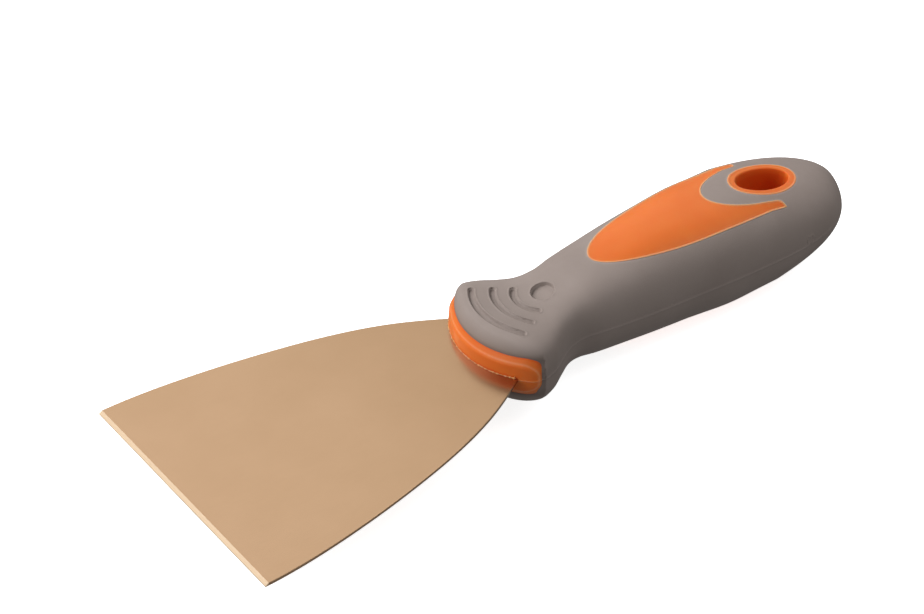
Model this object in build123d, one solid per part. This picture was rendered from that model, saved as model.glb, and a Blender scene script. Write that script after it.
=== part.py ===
"""Flexible putty knife: a copper-alloy blade with its tang moulded into a two-component handle.

Lengths are millimetres. The knife is drawn from its front edge at x = 0 back to its butt, with the blade's
middle plane at z = 0, and is then moved so that the middle of its length is the origin.
+X runs from the blade's edge to the butt, +Z is up, and the knife is the same above and below.
"""

from build123d import *
import math
import os

os.makedirs("parts", exist_ok=True)

# Blade
edge_width = 76.0
blade_thickness = 0.9
bevel_length = 1.0
edge_land = 0.25
neck_x = 92.0
neck_half_width = 13.7
blade_side = [(25.0, 35.8), (50.0, 30.9), (75.0, 23.0)]
tang_front_x = 99.0
tang_end_x = 156.0
tang_half_width = 8.0
anchor_hole_radius = 3.0
anchor_hole_x = [107.0, 126.0, 145.0]

# Handle: stations of its outer skin, each x, half width, half height, and how square the section is
overall_length = 204.8
closing_start_x = 175.0
belly_half_width = 18.0
belly_half_height = 13.6
rear_taper = 0.20
width_closing_power = 2.5
height_closing_power = 6.0
outer_stations = [
    (84.0, 14.9, 10.4, 4.2),
    (88.0, 16.8, 10.7, 4.2),
    (92.0, 18.2, 10.6, 4.2),
    (96.0, 18.7, 10.1, 4.2),
    (100.0, 17.6, 9.5, 4.2),
    (104.0, 15.2, 9.2, 4.0),
    (108.0, 13.0, 9.5, 3.6),
    (113.0, 12.0, 10.6, 3.2),
    (119.0, 13.0, 12.1, 2.8),
    (127.0, 14.3, 13.3, 2.5),
    (137.0, 15.5, 14.6, 2.35),
    (148.0, 16.4, 15.1, 2.4),
    (160.0, 17.4, 14.9, 2.5),
    (168.0, 17.8, 14.4, 2.4),
]
closing_steps = [0.0, 0.3, 0.5, 0.68, 0.82, 0.92, 0.975]
belly_squareness = 2.5
butt_squareness = 2.0
section_points = 20

# Core under the grip
core_stations = [
    (94.0, 14.0, 6.4, 3.0),
    (100.0, 12.4, 6.8, 2.8),
    (107.0, 9.9, 7.0, 2.5),
    (114.0, 9.3, 8.2, 2.3),
    (127.0, 11.4, 10.6, 2.3),
    (148.0, 13.6, 12.3, 2.4),
    (168.0, 15.0, 11.6, 2.5),
    (184.0, 14.0, 8.8, 2.4),
    (194.0, 10.5, 5.6, 2.3),
]

# Head: everything on its front is round about the thumb dimple
dimple_x = 109.0
bolster_radius = 24.1
bolster_half_width = 18.8
bolster_half_height = 5.2
bolster_corner = 4.0
bolster_lip = 1.1
bolster_back_x = 96.0
grip_front_radius = 22.5
grip_front_half_height = 10.7
grip_front_round = 4.6

# Thumb dimple and grip arcs, on both faces
dimple_radius = 3.0
groove_radii = [7.4, 12.5, 17.9]
groove_half_angles = [45.0, 40.0, 37.0]
groove_floors_z = [8.4, 8.7, 9.0]
groove_width = 1.7
dimple_floor_z = 8.7

# Windows that show the core, and the hang hole with its eyelet
window_middle_x = 165.0
window_half_width = 11.7
window_nose = 40.8
window_end_x = 180.2
hole_x = 181.4
hole_half_axes = (8.2, 4.9)
eyelet_half_axes = (10.6, 7.0)
surround_half_axes = (19.5, 9.2)
tool_height = 60.0


def squircle(x, half_width, half_height, squareness):
    """A closed smooth section across the knife at x, between an ellipse and a rectangle."""
    points = []
    for step in range(section_points):
        angle = 2 * math.pi * step / section_points
        across, up = math.cos(angle), math.sin(angle)
        reach = (abs(across) ** squareness + abs(up) ** squareness) ** (-1 / squareness)
        points.append((half_width * reach * across, half_height * reach * up))
    plane = Plane(origin=(x, 0, 0), x_dir=(0, 1, 0), z_dir=(1, 0, 0))
    outline = Spline([plane.from_local_coords(point) for point in points], periodic=True)
    return make_face(outline)


def closing_stations():
    """The rear of the handle, which rounds off to a point at the butt."""
    length = overall_length - closing_start_x
    stations = []
    for step in closing_steps:
        x = closing_start_x + step * length
        width = belly_half_width * (1 - step**width_closing_power) ** (1 / width_closing_power)
        tapered = belly_half_height - rear_taper * (x - closing_start_x)
        height = tapered * (1 - step**height_closing_power) ** (1 / height_closing_power)
        squareness = belly_squareness + step * (butt_squareness - belly_squareness)
        stations.append((x, width, height, squareness))
    return stations


def handle_envelope():
    """The outer skin of the whole handle, with the head's front rounded about the dimple."""
    sections = [squircle(*station) for station in outer_stations + closing_stations()]
    body = loft(sections + [Vertex(overall_length, 0, 0)])
    return body - front_rounding()


def front_rounding():
    """The ring of waste in front of the head, turned about the dimple's axis."""
    inner = grip_front_radius - grip_front_round
    low = grip_front_half_height - grip_front_round
    far = grip_front_radius * 2
    top = tool_height / 2
    half = 1 / math.sqrt(2)
    knee = (inner + grip_front_round * half, low + grip_front_round * half)
    edges = [
        ThreePointArc((inner, low + grip_front_round), knee, (grip_front_radius, low)),
        Line((grip_front_radius, low), (grip_front_radius, -low)),
        ThreePointArc((grip_front_radius, -low), (knee[0], -knee[1]), (inner, -low - grip_front_round)),
        Polyline(
            (inner, -low - grip_front_round), (inner, -top), (far, -top), (far, top), (inner, top),
            (inner, low + grip_front_round),
        ),
    ]
    profile = Plane.XZ * make_face(edges)
    ring = revolve(profile, Axis.Z, 180)
    return Pos(dimple_x, 0, 0) * Rot(0, 0, 90) * ring


def prism(outline, height=tool_height):
    """A flat outline in plan, made into a tall block through both faces of the knife."""
    return extrude(outline, height / 2, both=True)


def blade():
    """One sheet: the wide blade with a bevelled front edge, the neck, and the tang with its anchor holes."""
    half_edge = edge_width / 2
    neck = (neck_x, neck_half_width)
    shoulder = (tang_front_x, tang_half_width)
    tang_end = (tang_end_x - tang_half_width, tang_half_width)
    side = Spline([(0, half_edge), *blade_side, neck], tangents=[(1, 0), (1, -0.62)])
    edges = [
        side,
        Spline([neck, shoulder], tangents=[(1, -0.62), (1, 0)]),
        Line(shoulder, tang_end),
        ThreePointArc(tang_end, (tang_end_x, 0), (tang_end[0], -tang_half_width)),
    ]
    mirrored = [mirror(edge, about=Plane.XZ) for edge in edges[:3]]
    outline = make_face(edges + mirrored + [Line((0, half_edge), (0, -half_edge))])
    sheet = prism(outline, blade_thickness)
    bevel = Plane.XZ * make_face(
        Polyline(
            (0, edge_land - blade_thickness / 2), (bevel_length, blade_thickness / 2),
            (0, blade_thickness / 2), (0, edge_land - blade_thickness / 2),
        )
    )
    sheet -= extrude(bevel, edge_width, both=True)
    for x in anchor_hole_x:
        sheet -= Pos(x, 0, 0) * Cylinder(anchor_hole_radius, blade_thickness * 2)
    return sheet


def window_outline():
    """The leaf shape of one window, cut back round the hang hole's grey surround."""
    ahead = Pos(window_middle_x - window_nose, 0) * Rectangle(2 * window_nose, 4 * window_half_width)
    nose = Pos(window_middle_x, 0) * Ellipse(window_nose, window_half_width) & ahead
    length = window_end_x - window_middle_x
    rear = Pos(window_middle_x + length / 2, 0) * Rectangle(length, 2 * window_half_width)
    return nose + rear - Pos(hole_x, 0) * Ellipse(*surround_half_axes)


def hang_hole():
    return prism(Pos(hole_x, 0) * Ellipse(*hole_half_axes))


def bolster():
    """The lip that closes the front of the handle and grips the blade's neck."""
    across = RectangleRounded(2 * bolster_half_width, 2 * bolster_half_height, bolster_corner)
    bar = extrude(Plane.YZ * across, bolster_back_x)
    round_front = Pos(dimple_x, 0, 0) * Cylinder(bolster_radius, tool_height)
    lip = bar & round_front
    front_edges = [edge for edge in lip.edges() if edge.center().X < bolster_back_x - 1]
    front_edges = [edge for edge in front_edges if edge.geom_type != GeomType.LINE]
    return fillet(front_edges, bolster_lip)


def handle_core(envelope, sheet):
    """The hard moulding round the tang: bolster, body, windows and eyelet in one piece."""
    body = loft([squircle(*station) for station in core_stations])
    lands = envelope & prism(window_outline())
    eyelet = envelope & prism(Pos(hole_x, 0) * Ellipse(*eyelet_half_axes))
    core = body + bolster() + lands + eyelet
    return core - hang_hole() - sheet


def thumb_marks():
    """The dimple and the three arcs in front of it, as the waste above one face of the head."""
    marks = Pos(0, 0, dimple_floor_z) * extrude(Circle(dimple_radius), tool_height / 2)
    for radius, half_angle, floor_z in zip(groove_radii, groove_half_angles, groove_floors_z):
        path = CenterArc((0, 0), radius, 180 - half_angle, 2 * half_angle)
        slot = SlotArc(path, groove_width)
        marks += Pos(0, 0, floor_z) * extrude(slot, tool_height / 2)
    return Pos(dimple_x, 0, 0) * marks


def soft_grip(envelope, core, sheet):
    """The rubber that fills the rest of the handle's outer shape."""
    marks = thumb_marks()
    grip = envelope - core - hang_hole() - sheet
    return grip - marks - mirror(marks, about=Plane.XY)


def centred(shape):
    """The same shape with the middle of the knife's length at the origin."""
    return Pos(-overall_length / 2, 0, 0) * shape


sheet = blade()
envelope = handle_envelope()
core = handle_core(envelope, sheet)
grip = soft_grip(envelope, core, sheet)

for name, shape in [("blade", sheet), ("handle_core", core), ("soft_grip", grip)]:
    export_step(centred(shape), f"parts/{name}.step")
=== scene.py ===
"""Looks of the flexible putty knife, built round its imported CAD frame.

The handle's skin is one smooth function of space, in millimetres from the blade's edge. It is meshed, cut
along the outlines of the windows, the eyelet and the thumb marks, and split into the grey grip and the
orange core. The blade is a bevelled sheet with softened edges. +X runs from the edge to the butt, +Z is up.
"""
import itertools
import math

import bpy
import numpy as np
from mathutils import Matrix, Vector
from mathutils.geometry import delaunay_2d_cdt


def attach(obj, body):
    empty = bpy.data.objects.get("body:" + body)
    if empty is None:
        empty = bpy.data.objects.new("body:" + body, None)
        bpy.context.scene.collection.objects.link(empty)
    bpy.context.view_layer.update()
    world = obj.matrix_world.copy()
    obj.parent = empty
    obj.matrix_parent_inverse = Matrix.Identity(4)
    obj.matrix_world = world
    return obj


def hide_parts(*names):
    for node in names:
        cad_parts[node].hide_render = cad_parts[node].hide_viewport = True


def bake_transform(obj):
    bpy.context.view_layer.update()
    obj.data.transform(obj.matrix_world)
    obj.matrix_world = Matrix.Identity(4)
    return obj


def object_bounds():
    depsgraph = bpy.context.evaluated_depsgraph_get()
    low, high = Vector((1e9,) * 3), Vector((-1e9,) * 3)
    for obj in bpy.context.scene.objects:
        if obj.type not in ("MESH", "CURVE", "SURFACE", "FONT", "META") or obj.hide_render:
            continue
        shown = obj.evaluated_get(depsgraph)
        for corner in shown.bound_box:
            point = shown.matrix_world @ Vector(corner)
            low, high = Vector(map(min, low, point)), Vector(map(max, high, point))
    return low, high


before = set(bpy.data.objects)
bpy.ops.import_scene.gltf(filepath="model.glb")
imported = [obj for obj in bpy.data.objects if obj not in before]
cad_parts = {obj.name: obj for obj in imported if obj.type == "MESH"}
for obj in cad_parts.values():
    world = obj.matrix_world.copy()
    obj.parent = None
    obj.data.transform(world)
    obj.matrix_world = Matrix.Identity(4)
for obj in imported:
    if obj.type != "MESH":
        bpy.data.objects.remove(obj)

cad_low, cad_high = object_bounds()
MM = 0.001
EDGE_X = cad_low.x / MM
LENGTH = (cad_high.x - cad_low.x) / MM

# Handle skin: x, half width, half height and squareness of each station, before it closes at the butt
STATIONS = np.array([
    (84.0, 14.9, 10.4, 4.2), (88.0, 16.8, 10.7, 4.2), (92.0, 18.2, 10.6, 4.2), (96.0, 18.7, 10.1, 4.2),
    (100.0, 17.6, 9.5, 4.2), (104.0, 15.2, 9.2, 4.0), (108.0, 13.0, 9.5, 3.6), (113.0, 12.0, 10.6, 3.2),
    (119.0, 13.0, 12.1, 2.8), (127.0, 14.3, 13.3, 2.5), (137.0, 15.5, 14.6, 2.35), (148.0, 16.4, 15.08, 2.4),
    (160.0, 17.4, 14.9, 2.5), (168.0, 17.8, 14.4, 2.4), (175.0, 18.0, 13.6, 2.5),
])
CLOSING_X, BUTT_SQUARENESS = 175.0, 2.0
WIDTH_POWER, HEIGHT_POWER, REAR_TAPER = 2.4, 5.5, 0.20
# The underside of the neck and belly is a little rounder: by how much, and where that starts and ends
UNDERSIDE_EASE, EASE_STARTS, EASE_ENDS = 0.14, (102.0, 112.0), (145.0, 168.0)

# Head, round about the thumb dimple
DIMPLE_X = 109.0
FRONT_RADIUS, FRONT_HEIGHT, FRONT_ROUND, FRONT_BLEND = 22.5, 10.7, 4.6, 1.2
# The grip wraps a little further round the bolster's two ends, over these ranges of y and of height.
# Below the blade's plane, the range of height is shifted down by WRAP_DROP
WRAP, WRAP_Y, WRAP_Z, WRAP_DROP = 1.1, (16.0, 18.6), (1.5, 5.0), 1.5
DIMPLE_RADIUS, DIMPLE_DEPTH = 3.0, 1.0
# Grip arcs: radius and half angle of each, and how far their middle lies to the side
GROOVES, GROOVES_Y = [(7.4, 46.0), (12.5, 41.0), (17.9, 38.0)], 0.3
GROOVE_HALF_WIDTH, GROOVE_DEPTH, GROOVE_WALL = 0.8, 0.7, 0.22
RIM_HEIGHT, RIM_OUT, RIM_WIDTH = 0.12, 0.28, 0.2
MARK_CUTS, SEAM_CUTS = (0.6, 0.28, 0.08, -0.08, -0.27), (-0.25, 0.0, 0.25)
FACE_FROM, FACE_FULL = 4.0, 5.5

# Windows, surround and eyelet, in plan
LEAF_X, LEAF_NOSE, LEAF_HALF_WIDTH, LEAF_END_X = 165.0, 40.8, 11.7, 180.2
TAIL_ROUND = 1.6
HOLE_X, HOLE_AXES, EYELET_AXES, SURROUND_AXES = 181.4, (8.2, 4.9), (10.4, 7.0), (19.5, 9.2)
LIP_HEIGHT, LIP_WIDTH, LIP_EDGE = 0.12, 0.42, 0.12
SEAM_HEIGHT, SEAM_WIDTH, SEAM_FADE = 0.1, 0.2, 12.0
GRIP_THICKNESS = 2.4

# Moulding pips on the grip: place, radius and height
PIPS = [((120.0, -11.4, 6.8), 0.35, 0.16), ((138.7, -15.5, 0.6), 0.3, 0.12), ((95.6, -18.9, 0.7), 0.5, 0.25)]
# The ring-shaped mark of the gate: its middle, radius, width and height
GATE, GATE_RADIUS, GATE_WIDTH, GATE_HEIGHT = (184.0, -17.6, 1.6), 1.2, 0.2, 0.16

# Bolster
BOLSTER_RADIUS, BOLSTER_HALF_WIDTH, BOLSTER_CORNER, BOLSTER_BACK_X = 24.1, 18.8, 4.0, 96.2
BOLSTER_DRAFT, RIDGE_RADIUS, RIDGE_SLOPE, RIDGE_ROUND = 0.06, 23.5, 1.15, 1.6
RIDGE_TOP, RIDGE_UNDERSIDE, BACK_ROUND = 5.0, 4.5, 2.6
FLASH_SIZE, FLASH_CRUMB, FLASH_SPAN = 0.14, 0.42, 37.0

# Blade. SIDE has x, half width and slope of each point of its side, as far as the tang
HALF_EDGE, THICKNESS, BEVEL, LAND = 38.0, 0.9, 1.0, 0.25
SIDE = np.array([(0.0, 38.0, 0.0), (25.0, 35.8, -0.15), (50.0, 30.9, -0.24), (75.0, 23.0, -0.43),
                 (92.0, 13.7, -0.62), (99.0, 8.0, 0.0)])
TANG_END_X, TANG_HALF_WIDTH, ANCHOR_RADIUS, ANCHOR_X = 156.0, 8.0, 3.0, (107.0, 126.0, 145.0)
SHEET_ROUND, GRID_STEP = 0.1, 2.0

MESH_STEP = 0.5
FAR = 9.0
# Points this close to the parting line get a painted highlight
ON_SEAM = 0.1


# ---------------------------------------------------------------- shape functions

def curve(x, knots, values, slopes):
    """A smooth curve through the knots, with a slope at each."""
    i = np.clip(np.searchsorted(knots, x) - 1, 0, len(knots) - 2)
    span = knots[i + 1] - knots[i]
    t = (x - knots[i]) / span
    rise = 2 * t**3 - 3 * t**2 + 1
    bend = (t**3 - 2 * t**2 + t) * span * slopes[i] + (t**3 - t**2) * span * slopes[i + 1]
    return rise * values[i] + (1 - rise) * values[i + 1] + bend


def through(x, knots, values):
    """A smooth curve through the knots, whose slopes come from their neighbours."""
    spans = np.diff(knots)
    steps = np.diff(values) / spans
    middle = (steps[:-1] * spans[1:] + steps[1:] * spans[:-1]) / (spans[:-1] + spans[1:])
    slopes = np.concatenate([[steps[0]], middle, [steps[-1]]])
    return curve(np.clip(x, knots[0], knots[-1]), knots, values, slopes)


def section(x):
    """Half width, half height and squareness of the handle at x."""
    width, height, squareness = (through(x, STATIONS[:, 0], STATIONS[:, k]) for k in (1, 2, 3))
    step = np.clip((x - CLOSING_X) / (LENGTH - CLOSING_X), 0, 1 - 1e-7)
    rear = step > 0
    tapered = STATIONS[-1, 2] - REAR_TAPER * (x - CLOSING_X)
    width = np.where(rear, STATIONS[-1, 1] * (1 - step**WIDTH_POWER) ** (1 / WIDTH_POWER), width)
    height = np.where(rear, tapered * (1 - step**HEIGHT_POWER) ** (1 / HEIGHT_POWER), height)
    squareness = np.where(rear, STATIONS[-1, 3] + step * (BUTT_SQUARENESS - STATIONS[-1, 3]), squareness)
    return width, height, squareness


def smooth_max(a, b, size):
    """The larger of two, rounded over where they are within size of each other."""
    h = np.maximum(size - np.abs(a - b), 0) / size
    return np.maximum(a, b) + h * h * size / 4


def smooth_step(x, start, end):
    """From 0 at start to 1 at end, level at both."""
    t = np.clip((x - start) / (end - start), 0, 1)
    return t * t * (3 - 2 * t)


def ellipse(p, axes, centre_x):
    """About the distance outside an ellipse in plan."""
    x, y = (p[:, 0] - centre_x) / axes[0], p[:, 1] / axes[1]
    scale = np.hypot(x, y)
    slope = np.hypot(x / axes[0], y / axes[1])
    return (scale - 1) * scale / np.maximum(slope, 1e-6)


def leaf(p):
    """About the distance outside the window's leaf shape in plan."""
    nose = ellipse(p, (LEAF_NOSE, LEAF_HALF_WIDTH), LEAF_X)
    rear = np.abs(p[:, 1]) - LEAF_HALF_WIDTH
    return np.where(p[:, 0] < LEAF_X, nose, np.maximum(rear, p[:, 0] - LEAF_END_X))


def surround(p):
    return ellipse(p, SURROUND_AXES, HOLE_X)


def window(p):
    """About the distance outside a window: the leaf, cut back round the hang hole's grey surround."""
    return smooth_max(leaf(p), -surround(p), TAIL_ROUND)


def eyelet(p):
    return ellipse(p, EYELET_AXES, HOLE_X)


def from_dimple(p):
    """Distance from the dimple's axis, counted sideways only behind it."""
    return np.hypot(np.minimum(p[:, 0] - DIMPLE_X, 0), p[:, 1])


def dimple(p):
    return np.hypot(p[:, 0] - DIMPLE_X, p[:, 1]) - DIMPLE_RADIUS


def grooves(p):
    """Distance outside the nearest grip arc in plan."""
    x, y = DIMPLE_X - p[:, 0], p[:, 1] - GROOVES_Y
    angle = np.arctan2(y, x)
    nearest = np.full(len(p), 1e3)
    for radius, half_angle in GROOVES:
        held = np.clip(angle, -math.radians(half_angle), math.radians(half_angle))
        apart = np.hypot(x - radius * np.cos(held), y - radius * np.sin(held))
        nearest = np.minimum(nearest, apart - GROOVE_HALF_WIDTH)
    return nearest


def groove_painted_shade(p):
    """How much painted shade a point gets on the wall of a grip arc that is away from the dimple."""
    apart = [np.abs(from_dimple(p) - radius - GROOVE_HALF_WIDTH + 0.15) for radius, _ in GROOVES]
    on_face = (grooves(p) < 0.1) * (np.abs(p[:, 2]) > 4.5)
    return np.exp(-((np.min(apart, 0) / 0.2) ** 2)) * on_face


def plain_skin(p):
    """Distance outside the handle's skin, about, with no marks on it."""
    x, y, z = p[:, 0], np.abs(p[:, 1]), np.abs(p[:, 2])
    width, height, squareness = section(x)
    below = (p[:, 2] < 0) * smooth_step(x, *EASE_STARTS) * (1 - smooth_step(x, *EASE_ENDS))
    squareness = squareness * (1 - UNDERSIDE_EASE * below)
    reach = ((y / width) ** squareness + (z / height) ** squareness + 1e-12) ** (1 / squareness)
    body = np.maximum((reach - 1) * np.minimum(width, height), x - LENGTH)
    above = z - WRAP_DROP * (p[:, 2] < 0)
    radius = from_dimple(p) - WRAP * smooth_step(y, *WRAP_Y) * (1 - smooth_step(above, *WRAP_Z))
    inner, low = FRONT_RADIUS - FRONT_ROUND, FRONT_HEIGHT - FRONT_ROUND
    corner = np.hypot(np.maximum(radius - inner, 0), np.maximum(z - low, 0)) - FRONT_ROUND
    behind = radius - inner - FRONT_ROUND + np.clip(z - low, 0, FRONT_ROUND)
    front = np.where(radius > inner, corner, behind)
    front = np.where(z > low, front, radius - FRONT_RADIUS)
    return smooth_max(body, front, FRONT_BLEND)


def grip_skin(p):
    """The skin with the thumb dimple, the grip arcs and a fine parting line."""
    on_face = smooth_step(np.abs(p[:, 2]), FACE_FROM, FACE_FULL)
    arcs, thumb = grooves(p), dimple(p)
    sunk = GROOVE_DEPTH * smooth_step(-arcs, -0.1, GROOVE_WALL)
    sunk = np.maximum(sunk, DIMPLE_DEPTH * smooth_step(-thumb, -0.1, GROOVE_WALL))
    rim = RIM_HEIGHT * np.exp(-(((np.minimum(arcs, thumb) - RIM_OUT) / RIM_WIDTH) ** 2))
    return plain_skin(p) + (sunk - rim) * on_face - seam(p) - pips(p)


def pips(p):
    """The small marks that gates and ejector pins leave on the grip."""
    raised = np.zeros(len(p))
    for place, radius, height in PIPS:
        raised += height * np.exp(-((np.linalg.norm(p - place, axis=1) / radius) ** 4))
    ring = np.linalg.norm(p - GATE, axis=1) - GATE_RADIUS
    return raised + GATE_HEIGHT * np.exp(-((ring / GATE_WIDTH) ** 2))


def seam(p):
    """The fine line that the two halves of a mould leave round the middle."""
    fade = smooth_step(LENGTH - p[:, 0], 0.0, SEAM_FADE)
    return SEAM_HEIGHT * np.exp(-((p[:, 2] / SEAM_WIDTH) ** 2)) * fade


def window_skin(p):
    """The core where it shows in a window, with the fine lip along the window's edge."""
    return plain_skin(p) - LIP_HEIGHT * smooth_step(window(p), -LIP_WIDTH, -LIP_EDGE)


def bolster_sides(p):
    """Distances outside the bolster's rounded section and outside its front."""
    y, z = np.abs(p[:, 1]), np.abs(p[:, 2])
    radius = from_dimple(p)
    ridge = np.where(p[:, 2] > 0, RIDGE_TOP, RIDGE_UNDERSIDE)
    half_height = ridge + RIDGE_SLOPE * np.clip(RIDGE_RADIUS - radius, 0, 1.5)
    beyond_y = np.maximum(y - (BOLSTER_HALF_WIDTH - BOLSTER_CORNER), 0)
    beyond_z = np.maximum(z - (half_height - BOLSTER_CORNER), 0)
    across = np.hypot(beyond_y, beyond_z) - BOLSTER_CORNER
    return across, radius + BOLSTER_DRAFT * z - BOLSTER_RADIUS


def bolster_skin(p):
    """Distance outside the lip that closes the front of the handle."""
    lip = smooth_max(*bolster_sides(p), RIDGE_ROUND)
    return smooth_max(lip - seam(p), p[:, 0] - BOLSTER_BACK_X, BACK_ROUND)


# ---------------------------------------------------------------- meshing

def gradient(skin, p, step=0.01):
    """The skin's gradient at points, by central differences."""
    result = np.empty_like(p)
    for axis in range(3):
        shift = np.zeros(3)
        shift[axis] = step
        result[:, axis] = (skin(p + shift) - skin(p - shift)) / (2 * step)
    return result


def settle(skin, p, contour=None, rounds=6, longest=0.4):
    """Points moved on to the skin and, where a contour is given, also on to the contour."""
    p = p.copy()
    for _ in range(rounds):
        for level in (contour, skin) if contour else (skin,):
            slope = gradient(level, p)
            size = np.maximum((slope**2).sum(1), 1e-4)
            move = -slope * (level(p) / size)[:, None]
            length = np.linalg.norm(move, axis=1)
            p += move * np.minimum(1, longest / np.maximum(length, 1e-9))[:, None]
    return p


def surface_net(skin, low, high, step):
    """Quads round the zero level of a function, on a grid of cells."""
    axes = [np.arange(a, b + step, step) for a, b in zip(low, high)]
    shape = tuple(len(a) for a in axes)
    grid = np.stack(np.meshgrid(*axes, indexing="ij"), -1).reshape(-1, 3)
    value = skin(grid).reshape(shape)
    inside = value < 0
    cells = tuple(n - 1 for n in shape)
    corners = list(itertools.product((0, 1), repeat=3))

    def corner(field, offset):
        return field[tuple(slice(o, o + c) for o, c in zip(offset, cells))]

    count = sum(corner(inside, o).astype(int) for o in corners)
    mixed = (count > 0) & (count < 8)
    index = np.full(cells, -1)
    index[mixed] = np.arange(mixed.sum())
    total, weight = np.zeros((mixed.sum(), 3)), np.zeros(mixed.sum())
    for a, b in itertools.combinations(corners, 2):
        if sum(abs(i - j) for i, j in zip(a, b)) != 1:
            continue
        va, vb = corner(value, a)[mixed], corner(value, b)[mixed]
        crossed = (va < 0) != (vb < 0)
        t = np.where(crossed, va / np.where(crossed, va - vb, 1), 0)
        point = np.array(a) + t[:, None] * (np.array(b) - np.array(a))
        total += point * crossed[:, None]
        weight += crossed
    cell = np.argwhere(mixed)
    p = (cell + total / weight[:, None]) * step + np.array(low)
    quads = []
    for axis in range(3):
        u, v = (axis + 1) % 3, (axis + 2) % 3
        here = [slice(None)] * 3
        there = [slice(None)] * 3
        here[axis], there[axis] = slice(0, -1), slice(1, None)
        change = inside[tuple(here)].astype(int) - inside[tuple(there)].astype(int)
        spots = np.argwhere(change)
        sign = change[tuple(spots.T)]
        across, up = spots[:, u], spots[:, v]
        keep = (across > 0) & (up > 0) & (across < shape[u] - 1) & (up < shape[v] - 1)
        spots, sign = spots[keep], sign[keep]
        ring = []
        for du, dv in ((-1, -1), (0, -1), (0, 0), (-1, 0)):
            at = spots.copy()
            at[:, u] += du
            at[:, v] += dv
            ring.append(index[tuple(at.T)])
        ring = np.stack(ring, 1)
        ring[sign < 0] = ring[sign < 0][:, ::-1]
        quads.append(ring)
    quads = np.concatenate(quads)
    return settle(skin, p), [tuple(q) for q in quads[(quads >= 0).all(1)]]


def cut(skin, points, faces, contour, snap=0.12):
    """The same mesh with edges along a contour of the skin."""
    level = contour(points)
    near = np.abs(level) < snap * MESH_STEP
    if near.any():
        points = points.copy()
        points[near] = settle(skin, points[near], contour)
        level[near] = 0.0
    sign = np.sign(level).astype(int)
    added, made, result = {}, [], []
    for face in faces:
        signs = [sign[v] for v in face]
        if min(signs) >= 0 or max(signs) <= 0:
            result.append(face)
            continue
        loop = []
        for k, a in enumerate(face):
            b = face[(k + 1) % len(face)]
            loop.append((a, sign[a]))
            if sign[a] * sign[b] < 0:
                key = (min(a, b), max(a, b))
                if key not in added:
                    t = level[a] / (level[a] - level[b])
                    added[key] = len(points) + len(made)
                    made.append(points[a] * (1 - t) + points[b] * t)
                loop.append((added[key], 0))
        zeros = [k for k, (_, s) in enumerate(loop) if s == 0]
        if len(zeros) != 2 or (zeros[1] - zeros[0]) in (1, len(loop) - 1):
            result.append(tuple(v for v, _ in loop))
            continue
        first, second = zeros
        result.append(tuple(v for v, _ in loop[first:second + 1]))
        result.append(tuple(v for v, _ in loop[second:] + loop[:first + 1]))
    if made:
        points = np.concatenate([points, settle(skin, np.array(made), contour)])
    return points, result


def tube(rings, count, closed=False):
    """Quads between rings of count points, and from the last ring to the first where it is closed."""
    quads = []
    for r in range(rings if closed else rings - 1):
        a, b = r * count, (r + 1) % rings * count
        quads.extend((a + k, b + k, b + (k + 1) % count, a + (k + 1) % count) for k in range(count))
    return quads


def centres(points, faces):
    """The middle of each face."""
    return np.array([points[list(face)].mean(0) for face in faces])


def part_of(points, faces, chosen):
    """The chosen faces, with only their own points."""
    kept = [face for face, use in zip(faces, chosen) if use]
    used = sorted({v for face in kept for v in face})
    renumber = {v: k for k, v in enumerate(used)}
    return points[used], [tuple(renumber[v] for v in face) for face in kept]


def borders(faces):
    """Edges with a face on one side only, in that face's direction."""
    edges = set()
    for face in faces:
        for k, a in enumerate(face):
            b = face[(k + 1) % len(face)]
            if (b, a) in edges:
                edges.remove((b, a))
            else:
                edges.add((a, b))
    return sorted(edges)


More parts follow.
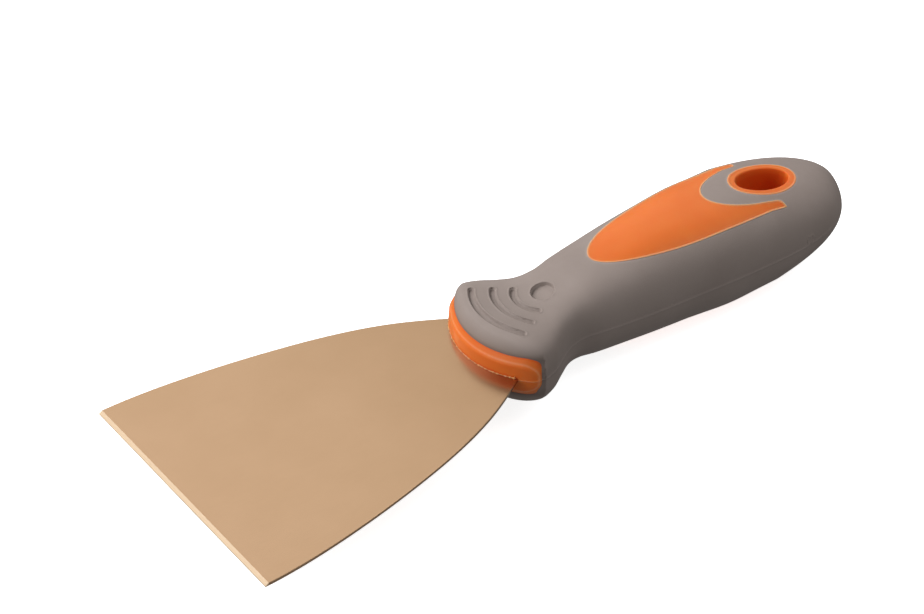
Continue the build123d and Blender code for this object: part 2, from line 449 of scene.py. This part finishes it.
class Shape:
    """Points, faces, normals and sharp edges gathered for one piece. Points are in millimetres."""

    def __init__(self):
        self.points, self.faces, self.normals, self.sharp, self.marks = [], [], [], [], []
        self.walls = set()

    def add(self, points, faces, normals=None, sharp=(), marks=None):
        """One closed body. normals holds a vector for each point, or zeros where Blender works it out."""
        start = len(self.points)
        normals = np.zeros((len(points), 3)) if normals is None else normals
        self.points.extend(map(tuple, points))
        self.normals.extend(map(tuple, normals))
        self.marks.extend(np.zeros(len(points)) if marks is None else marks)
        self.faces.extend(tuple(v + start for v in face) for face in faces)
        self.sharp.extend((a + start, b + start) for a, b in sharp)

    def shell(self, points, faces, normals, thickness, marks):
        """A skin made into a closed wall, whose inner side lies thickness below it."""
        count = len(points)
        rim = borders(faces)
        inner = [tuple(v + count for v in reversed(face)) for face in faces]
        walls = [(b, a, a + count, b + count) for a, b in rim]
        start = len(self.points)
        self.add(
            np.concatenate([points, points - normals * thickness]), faces + inner + walls,
            np.concatenate([normals, np.zeros((count, 3))]), rim + [(a + count, b + count) for a, b in rim],
            np.concatenate([marks, np.zeros(count)]),
        )
        self.walls |= {tuple(sorted(v + start for v in wall)) for wall in walls}

    def build(self, name, material, whole_marks=False):
        """The finished Blender object, smooth, with its own normals.

        With whole_marks, a face is marked only where all its corners are.
        """
        frame_points = (np.array(self.points) + (EDGE_X, 0, 0)) * MM
        mesh = bpy.data.meshes.new(name)
        mesh.from_pydata(frame_points.tolist(), [], self.faces)
        mesh.polygons.foreach_set("use_smooth", [True] * len(self.faces))
        edge_of = {tuple(sorted(e.vertices)): e.index for e in mesh.edges}
        sharp = np.zeros(len(mesh.edges), bool)
        for a, b in self.sharp:
            sharp[edge_of[(min(a, b), max(a, b))]] = True
        mesh.attributes.new("sharp_edge", "BOOLEAN", "EDGE").data.foreach_set("value", sharp)
        normals, point_marks = np.array(self.normals), np.array(self.marks)
        marks = np.zeros(len(mesh.loops))
        by_loop = np.zeros((len(mesh.loops), 3))
        for polygon in mesh.polygons:
            corner = list(polygon.vertices)
            loops = slice(polygon.loop_start, polygon.loop_start + polygon.loop_total)
            marks[loops] = point_marks[corner].min() if whole_marks else point_marks[corner]
            if tuple(sorted(corner)) not in self.walls:
                by_loop[loops] = normals[corner]
        mesh.normals_split_custom_set(by_loop.tolist())
        mesh.attributes.new("painted_light_and_bevel_mark", "FLOAT", "CORNER").data.foreach_set("value", marks)
        mesh.materials.append(material)
        obj = bpy.data.objects.new(name, mesh)
        bpy.context.scene.collection.objects.link(obj)
        return obj


def unit(vectors):
    return vectors / np.maximum(np.linalg.norm(vectors, axis=1), 1e-9)[:, None]


# ---------------------------------------------------------------- the handle

def add_skin_part(shape, points, faces, skin, edge):
    """One region of the skin as a closed wall, settled on to its own version of the skin.

    Its edge and the parting line get a painted highlight. The corner above the bolster gets painted shade,
    and so, on the grip, do the outer walls of the arcs.
    """
    points = settle(skin, points)
    normals = unit(gradient(skin, points))
    height = np.abs(points[:, 2])
    # Painted highlight along the region's edge and along the parting line
    marks = np.maximum(smooth_step(edge(points), -0.55, -0.1), 0.6 * (height < ON_SEAM))
    # Painted shade in the corner above the bolster, where the grip meets it
    ahead = smooth_step(from_dimple(points), FRONT_RADIUS - 2.0, FRONT_RADIUS - 0.5)
    ahead *= points[:, 0] < BOLSTER_BACK_X
    marks -= 0.8 * ahead * (1 - smooth_step(height, 5.5, 7.5))
    # Painted shade on the outer walls of the grip arcs
    if skin is grip_skin:
        marks -= groove_painted_shade(points)
    shape.shell(points, faces, normals, GRIP_THICKNESS, marks)


def ring_of(axes, count):
    """Points round an ellipse about the hang hole."""
    angle = np.linspace(0, 2 * math.pi, count, endpoint=False)
    return np.stack([HOLE_X + axes[0] * np.cos(angle), axes[1] * np.sin(angle), 0 * angle], 1)


def skin_height(p):
    """Height of the skin straight above each point."""
    low, high = np.zeros(len(p)), np.full(len(p), 20.0)
    for _ in range(40):
        middle = (low + high) / 2
        outside = plain_skin(np.stack([p[:, 0], p[:, 1], middle], 1)) > 0
        high, low = np.where(outside, middle, high), np.where(outside, low, middle)
    return (low + high) / 2


def add_eyelet(shape, count=128):
    """The ring that lines the hang hole: a drafted bore, a rounded mouth and a flat rim with a fine lip."""
    draft, mouth, lip = 0.45, 0.45, 0.35
    bore = [(-draft - 0.12, 0.0), (-draft, 0.015), (-draft * 0.5, 0.5), (-draft * 0.2, 0.8)]
    turn = np.linspace(0, math.pi / 2, 7)
    rounding = [(mouth * (1 - math.cos(a)), -mouth * (1 - math.sin(a))) for a in turn]
    width = EYELET_AXES[0] - HOLE_AXES[0]
    rim = [(width * 0.45, 0.0), (width - lip * 1.6, 0.0), (width - lip, LIP_HEIGHT)]
    rim += [(width - LIP_EDGE, LIP_HEIGHT), (width, 0.0)]
    rows = []
    for out, share in bore:
        ring = ring_of((HOLE_AXES[0] + out, HOLE_AXES[1] + out), count)
        ring[:, 2] = skin_height(ring) * share
        rows.append(ring)
    for out, up in rounding + rim:
        ring = ring_of((HOLE_AXES[0] + out, HOLE_AXES[1] + out), count)
        ring[:, 2] = skin_height(ring) + up
        rows.append(ring)
    outer = rows[-1].copy()
    outer[:, 2] *= 0.5
    rows.append(outer)
    upper = rows + [rows[-1] * (1, 1, 0)]
    lower = [row * (1, 1, -1) for row in reversed(rows[1:])]
    rings = upper + lower
    lip_row = len(bore) + len(rounding) + 2
    # Painted highlight on the rim's lip and painted shade down the bore
    marks = np.zeros(len(rings))
    for r in range(len(rings)):
        row = min(r, len(rings) - r)
        if row >= lip_row:
            marks[r] = 0.8 * (row < lip_row + 4)
        elif row < len(bore):
            marks[r] = -0.6
    shape.add(np.concatenate(rings), tube(len(rings), count, closed=True), marks=np.repeat(marks, count))


def add_tang_bed(shape):
    """The hidden middle of the core, round the tang."""
    stations = np.linspace(94.0, 170.0, 24)
    width, height, _ = section(stations)
    rows, count, clear = [], 40, GRIP_THICKNESS + 0.6
    angle = np.linspace(0, 2 * math.pi, count, endpoint=False)
    for x, w, h in zip(stations, width - clear, height - clear):
        rows.append(np.stack([0 * angle + x, w * np.cos(angle), h * np.sin(angle)], 1))
    points = np.concatenate(rows)
    faces = [quad[::-1] for quad in tube(len(rows), count)]
    faces.append(tuple(range(count))[::-1])
    faces.append(tuple(range(len(points) - count, len(points))))
    shape.add(points, faces)


def add_bolster(shape):
    """The lip in front of the grip, with a painted highlight on its ridge and seam and painted shade next to
    the rubber and along its foot on the blade.
    """
    low, high = (83.2, -19.8, -7.6), (98.8, 19.8, 7.6)
    points, faces = surface_net(bolster_skin, low, high, MESH_STEP * 0.7)
    for level in (-0.16, 0.0, 0.16):
        points, faces = cut(bolster_skin, points, faces, lambda p, z=level: p[:, 2] - z)
    normals = unit(gradient(bolster_skin, points))
    across, ahead = bolster_sides(points)
    # Painted highlight along the ridge and the parting seam
    ridge_painted_highlight = np.exp(-(((across - ahead) / 0.2) ** 2))
    height = np.abs(points[:, 2])
    marks = np.maximum(0.7 * (height < ON_SEAM), 0.65 * ridge_painted_highlight)
    # Painted shade in the crease next to the rubber
    inward = smooth_step(RIDGE_RADIUS - from_dimple(points), 0.5, 1.3)
    marks -= 0.9 * inward * (across > ahead)
    # Painted shade along the wall's foot, where it meets the blade
    painted_shade_at_blade = (across < ahead) * (np.abs(points[:, 1]) < side_width(points[:, 0]))
    marks -= 0.8 * (1 - smooth_step(height, 0.5, 1.5)) * painted_shade_at_blade
    shape.add(points, faces, normals, marks=marks)


def add_flash(shape, side, count=150, around=10):
    """The uneven bead of plastic that creeps out along the foot of the bolster, on one face of the blade."""
    degrees = np.linspace(-FLASH_SPAN, FLASH_SPAN, count)
    turn = np.radians(degrees)
    uneven = np.sin(23 * turn) * np.sin(57 * turn + 1) + np.sin(131 * turn + 2) ** 3
    size = FLASH_SIZE * np.maximum(0.75 + 0.5 * uneven, 0.2)
    size += FLASH_CRUMB * np.exp(-(((degrees + FLASH_SPAN - 0.8) / 0.35) ** 2))
    size *= smooth_step(FLASH_SPAN - np.abs(degrees), -0.2, 1.0) + 0.05
    ring = np.linspace(0, 2 * math.pi, around, endpoint=False)
    radius = BOLSTER_RADIUS + size[:, None] * (0.25 + np.cos(ring))
    z = side * (THICKNESS / 2 + size[:, None] * (0.3 + np.sin(ring)))
    ahead, sideways = radius * np.cos(turn)[:, None], radius * np.sin(turn)[:, None]
    points = np.stack([DIMPLE_X - ahead, sideways, z], -1).reshape(-1, 3)
    faces = tube(count, around)
    faces += [tuple(range(around)), tuple(range((count - 1) * around, count * around))[::-1]]
    if side > 0:
        faces = [face[::-1] for face in faces]
    # The whole bead gets a painted highlight, lighter than the core
    shape.add(points, faces, marks=np.full(len(points), 0.8))


def make_handle(grip_material, core_material):
    """The grey grip and the orange core."""
    low, high = (85.5, -19.5, -16.5), (LENGTH + 1.0, 19.5, 16.5)
    points, faces = surface_net(plain_skin, low, high, MESH_STEP)
    for contour in (window, eyelet):
        points, faces = cut(plain_skin, points, faces, contour)
    middle = centres(points, faces)
    in_window, in_eyelet = window(middle) < 0, eyelet(middle) < 0
    behind_bolster = np.abs(middle) < (95.0, 16.5, 4.2)

    contours = []
    for offset in MARK_CUTS:
        contours.append(lambda p, o=offset: marked(p, grooves, o))
        contours.append(lambda p, o=offset: marked(p, dimple, o))
    contours += [lambda p, z=level: p[:, 2] - z for level in SEAM_CUTS]
    grip_points, grip_faces = part_of(points, faces, ~in_window & ~in_eyelet & ~behind_bolster.all(1))
    for contour in contours:
        grip_points, grip_faces = cut(plain_skin, grip_points, grip_faces, contour)
    grip = Shape()
    add_skin_part(grip, grip_points, grip_faces, grip_skin, lambda p: -np.minimum(window(p), eyelet(p)))

    core = Shape()
    core_points, core_faces = part_of(points, faces, in_window)
    for offset in (-LIP_EDGE, -(LIP_EDGE + LIP_WIDTH) / 2, -LIP_WIDTH):
        core_points, core_faces = cut(plain_skin, core_points, core_faces, lambda p, o=offset: window(p) - o)
    add_skin_part(core, core_points, core_faces, window_skin, window)
    add_eyelet(core)
    add_bolster(core)
    for side in (1, -1):
        add_flash(core, side)
    add_tang_bed(core)

    grip_piece = grip.build("grip_overmould", grip_material)
    core_piece = core.build("core_moulding", core_material)
    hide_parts("soft_grip")
    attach(grip_piece, "handle")
    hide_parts("handle_core")
    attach(core_piece, "handle")


def marked(p, outline, offset):
    """A mark's outline, only on the head's two faces."""
    return np.where(np.abs(p[:, 2]) > FACE_FROM, outline(p) - offset, FAR)


# ---------------------------------------------------------------- the blade

def blade_outline():
    """The blade's closed outline in plan: back along one side, round the tang, forward and along the edge."""
    step = 1.0
    x = np.unique(np.concatenate([[0.0, BEVEL], np.arange(2.0, SIDE[-1, 0], step), [SIDE[-1, 0]]]))
    y = side_width(x)
    tang = np.arange(SIDE[-1, 0] + step, TANG_END_X - TANG_HALF_WIDTH, step)
    x, y = np.concatenate([x, tang]), np.concatenate([y, np.full(len(tang), TANG_HALF_WIDTH)])
    end = np.linspace(math.pi / 2, 0, 13)[:-1]
    x = np.concatenate([x, TANG_END_X - TANG_HALF_WIDTH + TANG_HALF_WIDTH * np.cos(end)])
    y = np.concatenate([y, TANG_HALF_WIDTH * np.sin(end)])
    right = np.stack([x, -y], 1)
    left = np.stack([x, y], 1)[::-1]
    edge_y = np.linspace(HALF_EDGE, -HALF_EDGE, 78)[1:-1]
    edge = np.stack([0 * edge_y, edge_y], 1)
    return np.concatenate([right, [(TANG_END_X, 0.0)], left, edge])


def side_width(x):
    """Half width of the blade at x."""
    return curve(x, *SIDE.T)


def inset(loop, distance):
    """A closed outline moved inward, to its left."""
    before, after = loop - np.roll(loop, 1, 0), np.roll(loop, -1, 0) - loop
    first, second = (unit(np.stack([-d[:, 1], d[:, 0]], 1)) for d in (before, after))
    mitre = first + second
    mitre /= (mitre * second).sum(1)[:, None]
    return loop + mitre * distance


def inside_loop(p, loop):
    """Which points lie inside a closed outline."""
    result = np.zeros(len(p), bool)
    for a, b in zip(loop, np.roll(loop, -1, 0)):
        if a[1] == b[1]:
            continue
        crosses = (a[1] > p[:, 1]) != (b[1] > p[:, 1])
        result ^= crosses & (p[:, 0] < (b[0] - a[0]) * (p[:, 1] - a[1]) / (b[1] - a[1]) + a[0])
    return result


def top_of(x):
    """Height of the blade's top face at x: lower on the ground bevel."""
    return np.minimum(THICKNESS / 2, LAND - THICKNESS / 2 + (THICKNESS - LAND) * x / BEVEL)


def rings_of(loop):
    """An outline's rings, from the top face over its two softened edges to the underside."""
    steps = [(SHEET_ROUND, 0.0), (SHEET_ROUND * 0.3, SHEET_ROUND * 0.3), (0.0, SHEET_ROUND)]
    rings = []
    for inward, down in steps:
        edge = inset(loop, inward)
        rings.append(np.column_stack([edge, top_of(edge[:, 0]) - down]))
    for inward, up in reversed(steps):
        edge = inset(loop, inward)
        rings.append(np.column_stack([edge, 0 * edge[:, 0] + up - THICKNESS / 2]))
    return rings


def blade_grid(outline):
    """Points spread over the blade's faces, clear of its outline and its holes."""
    x, y = np.arange(2.0, TANG_END_X, GRID_STEP), np.arange(-HALF_EDGE + 1, HALF_EDGE, GRID_STEP)
    grid = np.stack(np.meshgrid(x, y, indexing="ij"), -1).reshape(-1, 2)
    grid = grid[inside_loop(grid, inset(outline, 0.9))]
    for hole_x in ANCHOR_X:
        grid = grid[np.hypot(grid[:, 0] - hole_x, grid[:, 1]) > ANCHOR_RADIUS + 0.8]
    return grid


def triangles_of(loops, crease, grid):
    """Triangles between an outline and its holes, with edges along a crease that ends on the outline.

    Their corners are numbered through the loops, then the crease, then the grid.
    """
    rim = np.concatenate(loops)
    places = np.concatenate([rim, crease, grid])
    edges, first = [], 0
    for loop in loops:
        edges.extend((first + k, first + (k + 1) % len(loop)) for k in range(len(loop)))
        first += len(loop)
    ends = [np.hypot(rim[:, 0] - BEVEL, rim[:, 1] - y) for y in (-HALF_EDGE, HALF_EDGE)]
    near, far = (int(np.argmin(away)) for away in ends)
    line = [near] + [len(rim) + k for k in range(len(crease))] + [far]
    edges.extend(zip(line, line[1:]))
    _, _, made, sources, _, _ = delaunay_2d_cdt([Vector(p) for p in places], edges, [], 0, 1e-7)
    source = [min(s) for s in sources]
    triangles = [tuple(source[v] for v in triangle) for triangle in made]
    middle = np.array([places[list(triangle)].mean(0) for triangle in triangles])
    solid = inside_loop(middle, loops[0])
    for hole in loops[1:]:
        solid &= ~inside_loop(middle, hole)
    return [triangle for triangle, keep in zip(triangles, solid) if keep], line


def make_blade(material):
    """One sheet with softened edges, its faces triangulated over a fine grid of points."""
    outline = blade_outline()
    angle = np.linspace(0, -2 * math.pi, 32, endpoint=False)
    circle = ANCHOR_RADIUS * np.stack([np.cos(angle), np.sin(angle)], 1)
    points, faces, sharp, top, underside = [], [], [], [], []
    for loop in [outline] + [circle + (x, 0) for x in ANCHOR_X]:
        rings, count, start = rings_of(loop), len(loop), len(points)
        points.extend(map(tuple, np.concatenate(rings)))
        faces.extend(tuple(v + start for v in quad) for quad in tube(len(rings), count))
        top.append(list(range(start, start + count)))
        underside.append(list(range(len(points) - count, len(points))))

    bevel_y = np.linspace(-HALF_EDGE + 1, HALF_EDGE - 1, 75)
    crease = np.stack([0 * bevel_y + BEVEL, bevel_y], 1)
    grid = blade_grid(outline)
    extra = np.concatenate([crease, grid])
    for rings, height in ((top, top_of(extra[:, 0])), (underside, 0 * extra[:, 0] - THICKNESS / 2)):
        loops = [np.array([points[v][:2] for v in ring]) for ring in rings]
        triangles, line = triangles_of(loops, crease, grid)
        sharp.extend((v, ring[(k + 1) % len(ring)]) for ring in rings for k, v in enumerate(ring))
        number = sum(rings, []) + list(range(len(points), len(points) + len(extra)))
        points.extend(zip(extra[:, 0], extra[:, 1], height))
        if rings is top:
            sharp.extend((number[a], number[b]) for a, b in zip(line, line[1:]))
        turn = 1 if rings is top else -1
        faces.extend(tuple(number[v] for v in triangle)[::turn] for triangle in triangles)

    points = np.array(points)
    shape = Shape()
    shape.add(points, faces, sharp=sharp, marks=(points[:, 0] < BEVEL + 0.01).astype(float))
    blade = shape.build("blade_sheet", material, whole_marks=True)
    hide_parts("blade")
    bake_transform(blade)
    return blade


def at_x(x):
    """A point on the knife's middle line, in the frame's metres."""
    return ((x + EDGE_X) * MM, 0.0, 0.0)


# ---------------------------------------------------------------- materials

class Nodes:
    """A short way to write a material's nodes."""

    def __init__(self, name):
        self.material = bpy.data.materials.new(name)
        self.material.use_nodes = True
        self.tree = self.material.node_tree
        self.shader = self.tree.nodes["Principled BSDF"]

    def node(self, kind, settings=(), **inputs):
        made = self.tree.nodes.new(kind)
        for key, value in dict(settings).items():
            setattr(made, key, value)
        for key, value in inputs.items():
            self.put(made.inputs[int(key[1:]) if key[1:].isdigit() else key.replace("_", " ")], value)
        return made

    def put(self, socket, value):
        if isinstance(value, bpy.types.NodeSocket):
            self.tree.links.new(value, socket)
        else:
            socket.default_value = value

    def set(self, **inputs):
        for key, value in inputs.items():
            self.put(self.shader.inputs[key.replace("_", " ")], value)

    def noise(self, scale, detail=3.0, roughness=0.5, stretch=(1, 1, 1)):
        place = self.node("ShaderNodeTexCoord").outputs["Object"]
        mapping = self.node("ShaderNodeMapping", Vector=place, Scale=stretch)
        made = self.node("ShaderNodeTexNoise", Vector=mapping.outputs[0], Scale=scale, Detail=detail,
                         Roughness=roughness)
        return made.outputs["Fac"]

    def ramp(self, value, stops):
        made = self.node("ShaderNodeValToRGB", Fac=value)
        line = made.color_ramp
        for k, (position, colour) in enumerate(stops):
            spot = line.elements[k] if k < 2 else line.elements.new(position)
            spot.position, spot.color = position, (*colour, 1.0)
        return made.outputs["Color"]

    def span(self, value, low, high):
        """A noise value turned into a number from low to high."""
        return self.node("ShaderNodeMapRange", Value=value, i1=0.3, i2=0.7, i3=low, i4=high).outputs[0]

    def mix(self, share, a, b, blend="MIX"):
        made = self.node("ShaderNodeMix", {"data_type": "RGBA", "blend_type": blend}, Factor=share)
        self.put(made.inputs[6], a)
        self.put(made.inputs[7], b)
        return made.outputs[2]

    def multiply(self, share, a, b):
        return self.mix(share, a, b, "MULTIPLY")

    def bump(self, height, strength, distance, under=None):
        made = self.node("ShaderNodeBump", Strength=strength, Distance=distance, Height=height)
        if under:
            self.put(made.inputs["Normal"], under)
        return made.outputs["Normal"]

    def times(self, value, factor):
        return self.node("ShaderNodeMath", {"operation": "MULTIPLY"}, i0=value, i1=factor).outputs[0]

    def sum(self, a, b):
        return self.node("ShaderNodeMath", {"operation": "ADD"}, i0=a, i1=b).outputs[0]

    def along(self, start, end):
        """From 0 at one distance behind the blade's edge to 1 at another, in metres."""
        place = self.node("ShaderNodeTexCoord").outputs["Object"]
        x = self.node("ShaderNodeSeparateXYZ", Vector=place).outputs[0]
        start, end = start + EDGE_X * MM, end + EDGE_X * MM
        return self.node("ShaderNodeMapRange", Value=x, i1=start, i2=end, i3=0.0, i4=1.0).outputs[0]

    def mark(self, full=1.0):
        """How much a point carries a painted highlight on an edge or, with full at -1, painted shade in a
        crease. On the blade the same mark picks out the ground bevel.
        """
        value = self.node("ShaderNodeAttribute", {"attribute_name": "painted_light_and_bevel_mark"}).outputs["Fac"]
        return self.node("ShaderNodeMapRange", Value=value, i1=0.0, i2=full, i3=0.0, i4=1.0).outputs[0]


def copper_alloy():
    """Satin metal with a fine ground finish, duller and paler on the bevel, with painted shade darkening it
    towards the handle.
    """
    nodes = Nodes("copper_alloy")
    cloud = nodes.noise(45, 4)
    tone = nodes.ramp(cloud, [(0.3, (0.545, 0.350, 0.205)), (0.7, (0.575, 0.372, 0.222))])
    # Painted shade: the metal is darkened towards the handle, standing in for the reflection fading there
    painted_reflection_falloff = [(0.0, (1, 1, 1)), (0.5, (0.95, 0.95, 0.94)), (1.0, (0.80, 0.78, 0.74))]
    rear = nodes.ramp(nodes.along(0.0, 0.09), painted_reflection_falloff)
    bevel = nodes.mark()
    tone = nodes.mix(bevel, nodes.multiply(1.0, tone, rear), (0.49, 0.35, 0.215, 1))
    lines = nodes.noise(1200, 2, stretch=(0.2, 1, 1))
    rough = nodes.span(lines, 0.21, 0.235)
    rough = nodes.sum(rough, nodes.times(bevel, 0.25))
    metal = nodes.node("ShaderNodeMapRange", Value=bevel, i1=0.0, i2=1.0, i3=1.0, i4=0.15).outputs[0]
    nodes.set(Base_Color=tone, Metallic=metal, Roughness=rough)
    nodes.set(Normal=nodes.bump(lines, 0.01, 0.000003))
    return nodes.material


def grey_rubber():
    """Matt, finely grained rubber, with a painted highlight on its marked edges and seams and painted shade
    in its marked corners and creases.
    """
    nodes = Nodes("grey_rubber")
    cloud = nodes.noise(70, 5)
    tone = nodes.ramp(cloud, [(0.3, (0.245, 0.199, 0.177)), (0.7, (0.272, 0.223, 0.200))])
    # Painted highlight on marked edges and seams, and painted shade in marked corners and creases
    tone = nodes.mix(nodes.times(nodes.mark(), 0.4), tone, (0.42, 0.37, 0.34, 1))
    tone = nodes.multiply(nodes.mark(-1.0), tone, (0.55, 0.52, 0.50, 1))
    nodes.set(Base_Color=tone, Roughness=nodes.span(nodes.noise(500, 2), 0.62, 0.74))
    nodes.shader.inputs["Specular IOR Level"].default_value = 0.35
    nodes.set(Normal=nodes.bump(nodes.noise(3800, 3, 0.6), 0.25, 0.00006))
    return nodes.material


def orange_plastic():
    """Satin polypropylene that lets a little light in, with painted highlights on its marked lips, seams,
    ridge and flash and a redder painted shade in its marked creases.
    """
    nodes = Nodes("orange_plastic")
    cloud = nodes.noise(50, 4)
    tone = nodes.ramp(cloud, [(0.3, (0.64, 0.138, 0.019)), (0.7, (0.69, 0.162, 0.026))])
    # Painted highlight on the marked lip, seams, ridge and flash, and a redder painted shade in marked
    # creases and down the eyelet's bore
    tone = nodes.mix(nodes.times(nodes.mark(), 0.8), tone, (0.78, 0.36, 0.18, 1))
    tone = nodes.multiply(nodes.mark(-1.0), tone, (0.95, 0.45, 0.20, 1))
    nodes.set(Base_Color=tone, Roughness=nodes.span(nodes.noise(700, 3), 0.36, 0.46))
    nodes.shader.inputs["Specular IOR Level"].default_value = 0.22
    nodes.shader.inputs["Subsurface Weight"].default_value = 0.5
    nodes.shader.inputs["Subsurface Radius"].default_value = (1.0, 0.35, 0.12)
    nodes.shader.inputs["Subsurface Scale"].default_value = 0.0025
    nodes.set(Normal=nodes.bump(nodes.noise(2500, 2), 0.12, 0.00004))
    return nodes.material


# ---------------------------------------------------------------- floor, light and camera

def make_floor():
    """A pale paper sweep just under the knife. It glows a little, so that it stays white in the picture."""
    mesh = bpy.data.meshes.new("floor")
    half, gap = 3.0, 0.0001
    z = cad_low.z - gap
    corners = [(-half, -half, z), (half, -half, z), (half, half, z), (-half, half, z)]
    mesh.from_pydata(corners, [], [(0, 1, 2, 3)])
    nodes = Nodes("floor_paper")
    nodes.set(Base_Color=(0.9, 0.9, 0.9, 1), Roughness=0.9)
    nodes.shader.inputs["Emission Color"].default_value = (1, 1, 1, 1)
    nodes.shader.inputs["Emission Strength"].default_value = 0.8
    mesh.materials.append(nodes.material)
    floor = bpy.data.objects.new("floor", mesh)
    bpy.context.scene.collection.objects.link(floor)
    floor.visible_diffuse = False
    floor.visible_glossy = False


def softbox(name, place, aim, size, power):
    """A rectangular light at a place, turned to its aim."""
    light = bpy.data.lights.new(name, "AREA")
    light.shape, light.size, light.size_y, light.energy = "RECTANGLE", size[0], size[1], power
    lamp = bpy.data.objects.new(name, light)
    lamp.location = place
    lamp.rotation_euler = (Vector(aim) - Vector(place)).to_track_quat("-Z", "Y").to_euler()
    bpy.context.scene.collection.objects.link(lamp)


def make_light():
    """Three softboxes and a small one above the grip, in a room that is paler above than below."""
    softbox("light_key", (-0.65, 0.85, 1.1), (0, 0, 0), (1.2, 1.0), 24.5)
    softbox("light_behind", (0.9, 1.25, 1.1), (0, 0, 0), (1.8, 1.3), 5.5)
    softbox("light_top", (0.45, -0.3, 0.6), (0.09, 0, 0), (0.4, 0.4), 1.0)
    softbox("light_front", (-1.1, -0.1, 0.4), (0, 0, 0), (0.8, 0.5), 3.0)
    world = bpy.data.worlds.new("studio")
    world.use_nodes = True
    tree = world.node_tree
    background = tree.nodes["Background"]
    background.inputs["Color"].default_value = (1, 1, 1, 1)
    direction = tree.nodes.new("ShaderNodeTexCoord")
    parts = tree.nodes.new("ShaderNodeSeparateXYZ")
    fade = tree.nodes.new("ShaderNodeMapRange")
    low, high, dim, bright = -0.3, 0.4, 0.24, 0.36
    for socket, value in zip(fade.inputs[1:5], (low, high, dim, bright)):
        socket.default_value = value
    tree.links.new(direction.outputs["Generated"], parts.inputs[0])
    tree.links.new(parts.outputs["Z"], fade.inputs["Value"])
    tree.links.new(fade.outputs[0], background.inputs["Strength"])
    bpy.context.scene.world = world
    bpy.context.scene.view_settings.view_transform = "Standard"


def make_camera():
    """A long lens, seen from in front, to the left and above, turned slightly about its own axis."""
    azimuth, elevation, roll = (math.radians(a) for a in (-34.78, 39.41, -1.62))
    target_x, target_y = 95.8, 0.01694
    target = Vector(at_x(target_x)) + Vector((0.0, target_y, 0.0))
    distance, lens = 0.7719, 116.9
    level_back = math.cos(elevation)
    back = Vector((math.sin(azimuth) * level_back, -math.cos(azimuth) * level_back, math.sin(elevation)))
    camera = bpy.data.objects.new("camera", bpy.data.cameras.new("camera"))
    camera.data.lens, camera.data.sensor_width = lens, 36.0
    camera.location = target + back * distance
    level = (-back).to_track_quat("-Z", "Y").to_matrix()
    camera.rotation_euler = (level @ Matrix.Rotation(roll, 3, "Z")).to_euler()
    bpy.context.scene.collection.objects.link(camera)
    bpy.context.scene.camera = camera


make_camera()
make_light()
make_floor()
make_handle(grey_rubber(), orange_plastic())
make_blade(copper_alloy())
